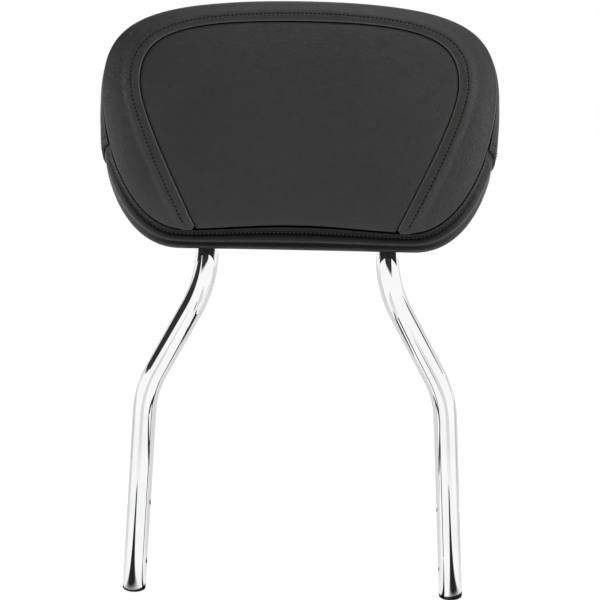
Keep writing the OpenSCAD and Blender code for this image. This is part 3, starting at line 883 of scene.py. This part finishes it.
def lower_boxing_cover():
    first = JOIN_SEAM - HEM
    a = RING[(RING > first + 0.3) & (RING < 360 - first - 0.3)]
    a = np.concatenate([[first], a, [360 - first]])
    return boxing_cover("lower_boxing_cover", a, join_at(BAND_ROWS) - HEM, True, "lower_boxing")


def edge_rings(a, rings):
    """Grid from rings of [inset from the pad's edge, depth]."""
    edge, ones = edge_at(a), np.ones(len(a))
    return np.stack([flat_point(a, edge - inset, depth * ones) for inset, depth in rings], axis=1)


def rear_panel_cover():
    """Vinyl over the rear sheet, with a rolled edge."""
    rim, front, fillet = REAR_INSET - VINYL_T, CROWN_V + 0.25, 1.5
    rings = [(rim + 9, front), (rim + 1.2, front), (rim + 0.3, CROWN_V - 0.1)]
    rings += [(rim, CROWN_V - 0.9), (rim, BACK_V + fillet)]
    rings += [
        (rim + fillet * (1 - math.cos(turn)), BACK_V + fillet * (1 - math.sin(turn)))
        for turn in (0.4, 0.8, 1.2, 1.57)]
    rings += [(rim + inset, BACK_V) for inset in (3, 6, 12, 30)]
    verts, faces = closed_mesh(edge_rings(RING[::2], rings), front, BACK_V)
    return make_object("rear_panel_cover", verts, faces, VINYL_REAR, ("rear_cover",))


FOAM_SUNK, FOAM_INSET, FOAM_FRONT = 2.6, 11.0, FLANGE_V + 10.6


def foam_body():
    """The foam: sunk below the cover, deeper beside the outer seam, and flat behind."""
    a = RING[::4]
    face, box = face_section(a), box_section(a)
    line = np.concatenate([face, box[:, 1:]], axis=1)
    run = runs(line)
    to_rim = run[:, -1] - (TURN_IN - REAR_R) + 1
    marks = np.linspace(0.04, 1, 40) * to_rim[:, None]
    grid = surface(a, line, run, marks)
    sunk = FOAM_SUNK + 7.0 * bump(marks, runs(face)[:, -1:], 6.0)
    grid = grid - sunk[..., None] * normals(grid, True)
    back = edge_rings(a, [(FOAM_INSET, FLANGE_V + 1.8), (FOAM_INSET, FOAM_FRONT)])
    grid = np.concatenate([grid, back], axis=1)
    verts, faces = closed_mesh(grid, float(line[0, 0, 1]) - FOAM_SUNK, FOAM_FRONT)
    return make_object("foam_body", verts, faces, FOAM, ("foam_core",))


CENTRE_PIECE = centre_cover()
BORDER_PIECE = border_cover()
UPPER_PIECE = upper_boxing_cover()
LOWER_PIECE = lower_boxing_cover()
REAR_PIECE = rear_panel_cover()
FOAM_PIECE = foam_body()


# Stitches: short threads that dip into the cover at both ends

STITCH_PITCH, STITCH_SIDES, STITCH_RINGS = 3.1, 6, 5
STITCH_STEPS, STITCH_END = 900, 3.0


def seam_path(section, a, marks, height):
    """Points and normals of a line at distances along each section, raised by a height."""
    run = runs(section)
    near = at_marks(section, run, np.stack([marks - 0.3, marks, marks + 0.3], axis=1))
    p = flat_point(a[:, None], near[..., 0], near[..., 1])
    n = np.cross(p[:, 2] - p[:, 0], np.gradient(p[:, 1], axis=0))
    n /= np.linalg.norm(n, axis=1, keepdims=True)
    return p[:, 1] + height[:, None] * n, n


def stitch_row(name, lines, length, radius, material):
    """Stitches along one or more lines of points and normals, joined in one piece."""
    sides, rings = STITCH_SIDES, STITCH_RINGS
    turns = np.arange(sides) * 2 * math.pi / sides
    t = np.linspace(-1, 1, rings)
    hump, thick = radius * 1.1 * (1 - 1.9 * t ** 2), radius * np.sqrt(1.02 - 0.85 * t ** 2)
    verts, faces = [], []
    for points, n in lines:
        run = np.concatenate([[0], np.cumsum(np.linalg.norm(np.diff(points, axis=0), axis=1))])
        count = int((run[-1] - length) / STITCH_PITCH)
        first = (run[-1] - count * STITCH_PITCH) / 2
        for k in range(count + 1):
            s = first + k * STITCH_PITCH + t * length / 2
            c = np.stack([np.interp(s, run, points[:, i]) for i in range(3)], axis=1)
            out = np.stack([np.interp(s, run, n[:, i]) for i in range(3)], axis=1)
            along = c[-1] - c[0]
            along /= np.linalg.norm(along)
            side = np.cross(along, out)
            side /= np.linalg.norm(side, axis=1, keepdims=True)
            c = c + out * hump[:, None]
            base = len(verts)
            for i in range(rings):
                for x in turns:
                    verts.append(c[i] + thick[i] * (math.cos(x) * side[i] + math.sin(x) * out[i]))
            for i in range(base, base + (rings - 1) * sides, sides):
                for j in range(sides):
                    q = (j + 1) % sides
                    faces.append((i + j, i + q, i + sides + q, i + sides + j))
            end = base + (rings - 1) * sides
            faces.append(tuple(range(base, base + sides))[::-1])
            faces.append(tuple(range(end, end + sides)))
    return make_object(name, world(np.array(verts)), faces, material)


def border_topstitch():
    a = np.linspace(-(TIP - 4), TIP - 4, STITCH_STEPS)
    section = face_section(a)
    inset, whole = face_lengths(a, section, runs(section))
    t = stitch_in(a, whole - inset)
    rise = 0.95 + relief("border", a, t / (whole - inset))
    path = seam_path(section, a, inset + t, rise)
    return stitch_row("border_topstitch", [path], 2.1, 0.36, THREAD)


def band_stitches(name, d, rise, share, length, radius, material):
    """A row along the lower band, raised by a height and by a share of the relief."""
    a = np.linspace(JOIN_SEAM + STITCH_END, 360 - JOIN_SEAM - STITCH_END, STITCH_STEPS)
    section = box_section(a)
    height = rise + share * relief("band", a, d / runs(section)[:, -1])
    path = seam_path(section, a, np.full(len(a), d), height)
    return stitch_row(name, [path], length, radius, material)


def join_topstitch():
    """One row across the upper band beside each end."""
    lines = []
    for side in (-1, 1):
        d = np.linspace(2.5, 30, 80)
        a = side * join_at(d) * (1 - JOIN_STITCH / (DEGREE * JOIN_SEAM))
        section = box_section(a)
        run = runs(section)
        rv = at_marks(section, run, d[:, None])[:, 0]
        p = flat_point(a, rv[:, 0], rv[:, 1])
        ahead = box_section(a + 0.4)
        rv = at_marks(ahead, runs(ahead), d[:, None])[:, 0]
        n = np.cross(np.gradient(p, axis=0), flat_point(a + 0.4, rv[:, 0], rv[:, 1]) - p)
        n /= np.linalg.norm(n, axis=1, keepdims=True)
        rise = 0.95 + 0.6 * relief("band", a, d / run[:, -1])
        lines.append((p + rise[:, None] * n, n))
    return stitch_row("join_topstitch", lines, 2.0, 0.34, THREAD)


STITCHES = [
    border_topstitch(),
    band_stitches("boxing_topstitch", BAND_STITCH, -0.45, 0.6, 2.0, 0.45, THREAD_SHEEN),
    band_stitches("seam_stitches", SEAM_STITCH, 0.14, 0.0, 1.7, 0.42, THREAD),
    join_topstitch()]


# Studio: a white floor and surroundings, cards and lamps

def patch(tree, x, y, middle, size, turn, edge, power):
    """1 inside a turned ellipse, or for a higher power a box with round corners, and 0 outside."""
    c, s = math.cos(math.radians(turn)), math.sin(math.radians(turn))
    dx, dy = maths(tree, "SUBTRACT", x, middle[0]), maths(tree, "SUBTRACT", y, middle[1])
    parts = (
        weighted(tree, (dx, c / size[0]), (dy, s / size[0])),
        weighted(tree, (dy, c / size[1]), (dx, -s / size[1])))
    powers = [maths(tree, "POWER", maths(tree, "ABSOLUTE", part), power) for part in parts]
    far = maths(tree, "POWER", maths(tree, "ADD", *powers), 1 / power)
    n = node(
        tree, "ShaderNodeMapRange", interpolation_type="SMOOTHSTEP",
        From_Min=1.0 + edge / 2, From_Max=1.0 - edge / 2)
    wire(tree, far, n.inputs["Value"])
    return n.outputs["Result"]


def dimmed(tree, x, y, marks):
    """Brightness 1, lowered in each mark: middle, size, turn, edge, power, brightness inside."""
    level = None
    for *form, inside in marks:
        shade = patch(tree, x, y, *form)
        keep = maths(tree, "SUBTRACT", 1.0, maths(tree, "MULTIPLY", shade, 1 - inside))
        level = keep if level is None else maths(tree, "MULTIPLY", level, keep)
    return level


def by_ray(tree, plain, seen, mirrored, out):
    """One shade for the camera's rays, one for glossy rays and a plain one for the others."""
    path = node(tree, "ShaderNodeLightPath")
    for ray, shade in (("Is Camera Ray", seen), ("Is Glossy Ray", mirrored)):
        n = node(tree, "ShaderNodeMixShader")
        wire(tree, path.outputs[ray], n.inputs["Fac"])
        wire(tree, plain, n.inputs[1])
        wire(tree, shade, n.inputs[2])
        plain = n.outputs[0]
    wire(tree, plain, out.inputs["Surface"])


# What the chrome sees on the floor, in metres, and beyond it, in degrees right and up
FLOOR_MARKS = [
    ((0.0, 0.76), (1.4, 0.75), 0, 0.1, 6, 0.72),
    ((-0.185, -0.131), (0.129, 0.025), 67, 0.22, 4, 0.02),
    ((0.163, -0.141), (0.131, 0.025), 98, 0.22, 4, 0.02),
    ((0.125, -0.69), (0.17, 0.03), 95, 0.4, 2, 0.08),
    ((-0.1005, -0.0065), (0.030, 0.0028), -12.6, 0.3, 4, 0.03),
    ((0.0960, -0.0190), (0.040, 0.0040), 27.7, 0.3, 4, 0.03),
    # Dark spots under the feet: painted shade where the tube ends stand on the floor, seen only in
    # reflections
    ((-0.1323, 0.0), (0.0150, 0.0150), 0, 0.12, 2, 0.03),
    ((0.1358, -0.0020), (0.0165, 0.0165), 0, 0.12, 2, 0.03),
    ((-0.45, -1.05), (0.76, 0.15), 73, 0.5, 4, 0.72),
    ((0.45, -1.05), (0.76, 0.15), 107, 0.5, 4, 0.72)]
SKY_MARKS = [
    ((-150, 0), (38, 90), 0, 0.08, 8, 0.72),
    ((150, 0), (38, 90), 0, 0.08, 8, 0.72),
    ((-84, 40), (46, 33), 0, 0.07, 6, 0.03),
    ((-2, 48), (38, 38), 0, 0.08, 6, 0.03),
    ((97, 41), (10, 29), 0, 0.12, 6, 0.06)]

# Black cards beside the legs, in metres: x, y, facing x, facing y, width, low, high
FLAG_GLOW = 0.03
FLAGS = [
    (-0.0740, -0.0130, -0.975, 0.222, 0.0065, FOOT_Z / 1000, 0.165),
    (0.0600, -0.0380, 0.884, 0.467, 0.0095, FOOT_Z / 1000, 0.165),
    (-0.1880, 0.0220, 0.930, -0.367, 0.0045, 0.045, 0.150),
    (0.1890, 0.0185, -0.951, -0.309, 0.0045, 0.030, 0.150)]

# Arched cards round the front of each upright, in millimetres: name, glow and bands of heights
# These cards paint a reflection: the pad's dark underside on the tube tops, with paler lines in it
COLLAR_R, COLLAR_DEG, COLLAR_Y = 18.5, 66, 5.0
COLLAR_FOOT, COLLAR_ARCH, COLLAR_TOP = 237.0, 9.0, 244.0
COLLARS = (
    ("collars", 0.012, [(0, 1.5), (2.0, 3.6), (4.1, 5.8), (6.3, 14.0)]),
    ("collar_lines", 0.05, [(1.5, 2.0), (3.6, 4.1), (5.8, 6.3)]))

# Lamps: name, place, size and watts
LAMPS = (
    ("top", (0.15, -0.45, 1.7), 0.9, 5.0),
    ("right", (1.25, -0.75, 0.75), 0.5, 4.0),
    ("left", (-1.3, -0.45, 0.55), 0.5, 3.2))
LAMP_AIM = Vector((0, 0, 0.15))

FLOOR_Z = FOOT_Z / 1000 - 0.0008
FLOOR_GLOW, FLOOR_TONE, FLOOR_HALF = 0.725, 0.40, 6
WORLD_LIGHT = 0.70


def card(name, verts, faces, level):
    """A card that only reflections see."""
    material, tree, _ = new_material(name)
    glow = node(tree, "ShaderNodeEmission", Strength=level)
    wire(tree, glow.outputs[0], tree.nodes["Material Output"].inputs["Surface"])
    mesh = bpy.data.meshes.new(name)
    mesh.from_pydata(verts, [], faces)
    mesh.materials.append(material)
    obj = add_object(name, mesh)
    obj.visible_camera = obj.visible_diffuse = obj.visible_shadow = obj.visible_transmission = False


def flags():
    verts, faces = [], []
    for x, y, nx, ny, width, low, high in FLAGS:
        dx, dy = -ny * width / 2, nx * width / 2
        i = len(verts)
        verts += [(x - dx, y - dy, low), (x + dx, y + dy, low)]
        verts += [(x + dx, y + dy, high), (x - dx, y - dy, high)]
        faces.append((i, i + 1, i + 2, i + 3))
    card("flags", verts, faces, FLAG_GLOW)


def collars():
    steps = np.linspace(-1, 1, 33)
    for name, level, bands in COLLARS:
        verts, faces = [], []
        for side in (-1, 1):
            for band in bands:
                i = len(verts)
                for s in steps:
                    turn, foot = math.radians(COLLAR_DEG * s), COLLAR_FOOT - COLLAR_ARCH * s * s
                    x = side * UPRIGHT_X + COLLAR_R * math.sin(turn)
                    y = COLLAR_Y - COLLAR_R * math.cos(turn)
                    heights = [min(foot + z, COLLAR_TOP) for z in band]
                    verts += [(x / 1000, y / 1000, z / 1000) for z in heights]
                faces += [
                    (k, k + 2, k + 3, k + 1) for k in range(i, i + 2 * len(steps) - 2, 2)]
        card(name, verts, faces, level)


def floor():
    """White floor that keeps the object's shadow. Its marks are seen by reflections alone."""
    material, tree, bsdf = new_material("floor")
    bsdf.inputs["Base Color"].default_value = (0.86, 0.86, 0.86, 1)
    bsdf.inputs["Roughness"].default_value = 0.9
    bsdf.inputs["Specular IOR Level"].default_value = 0.0
    matt = node(tree, "ShaderNodeBsdfDiffuse", Color=(FLOOR_TONE, FLOOR_TONE, FLOOR_TONE, 1))
    glow = node(tree, "ShaderNodeEmission", Strength=FLOOR_GLOW)
    seen = node(tree, "ShaderNodeAddShader")
    wire(tree, matt.outputs[0], seen.inputs[0])
    wire(tree, glow.outputs[0], seen.inputs[1])
    place = node(tree, "ShaderNodeSeparateXYZ")
    wire(tree, object_place(tree), place.inputs[0])
    mirror = node(tree, "ShaderNodeEmission")
    marks = dimmed(tree, place.outputs["X"], place.outputs["Y"], FLOOR_MARKS)
    wire(tree, marks, mirror.inputs["Strength"])
    by_ray(tree, bsdf.outputs[0], seen.outputs[0], mirror.outputs[0], tree.nodes["Material Output"])
    mesh = bpy.data.meshes.new("floor")
    left, right = -FLOOR_HALF, FLOOR_HALF
    corners = [(left, left), (right, left), (right, right), (left, right)]
    mesh.from_pydata([(x, y, FLOOR_Z) for x, y in corners], [], [(0, 1, 2, 3)])
    mesh.materials.append(material)
    obj = add_object("floor", mesh)
    return obj


def world_light():
    studio = bpy.data.worlds.new("studio")
    bpy.context.scene.world = studio
    studio.use_nodes = True
    tree = studio.node_tree
    tree.nodes.clear()
    way = node(tree, "ShaderNodeSeparateXYZ")
    wire(tree, node(tree, "ShaderNodeTexCoord").outputs["Generated"], way.inputs[0])
    turn = maths(tree, "ARCTAN2", way.outputs["X"], maths(tree, "MULTIPLY", way.outputs["Y"], -1.0))
    right = maths(tree, "DEGREES", turn)
    rise = maths(tree, "DEGREES", maths(tree, "ARCSINE", way.outputs["Z"]))
    plain, white, mirror = (
        node(tree, "ShaderNodeBackground", Color=(1, 1, 1, 1), Strength=strength)
        for strength in (WORLD_LIGHT, 1.0, 1.0))
    wire(tree, dimmed(tree, right, rise, SKY_MARKS), mirror.inputs["Strength"])
    out = node(tree, "ShaderNodeOutputWorld")
    by_ray(tree, plain.outputs[0], white.outputs[0], mirror.outputs[0], out)


def lamp(name, place, size, watts):
    data = bpy.data.lights.new(name, "AREA")
    data.shape = "DISK"
    data.size = size
    data.energy = watts
    obj = add_object(name, data)
    obj.location = place
    obj.rotation_euler = (LAMP_AIM - Vector(place)).to_track_quat("-Z", "Y").to_euler()
    return obj


FLOOR = floor()
flags()
collars()
world_light()

# The lamps light the pad and the floor, so that the chrome shows the white room and its marks alone
SOFT = bpy.data.collections.new("lit_by_lamps")
PAD = (CENTRE_PIECE, BORDER_PIECE, UPPER_PIECE, LOWER_PIECE, REAR_PIECE, FOAM_PIECE)
for piece in (*PAD, *STITCHES, FLOOR):
    SOFT.objects.link(piece)
for settings in LAMPS:
    lamp(*settings).light_linking.receiver_collection = SOFT
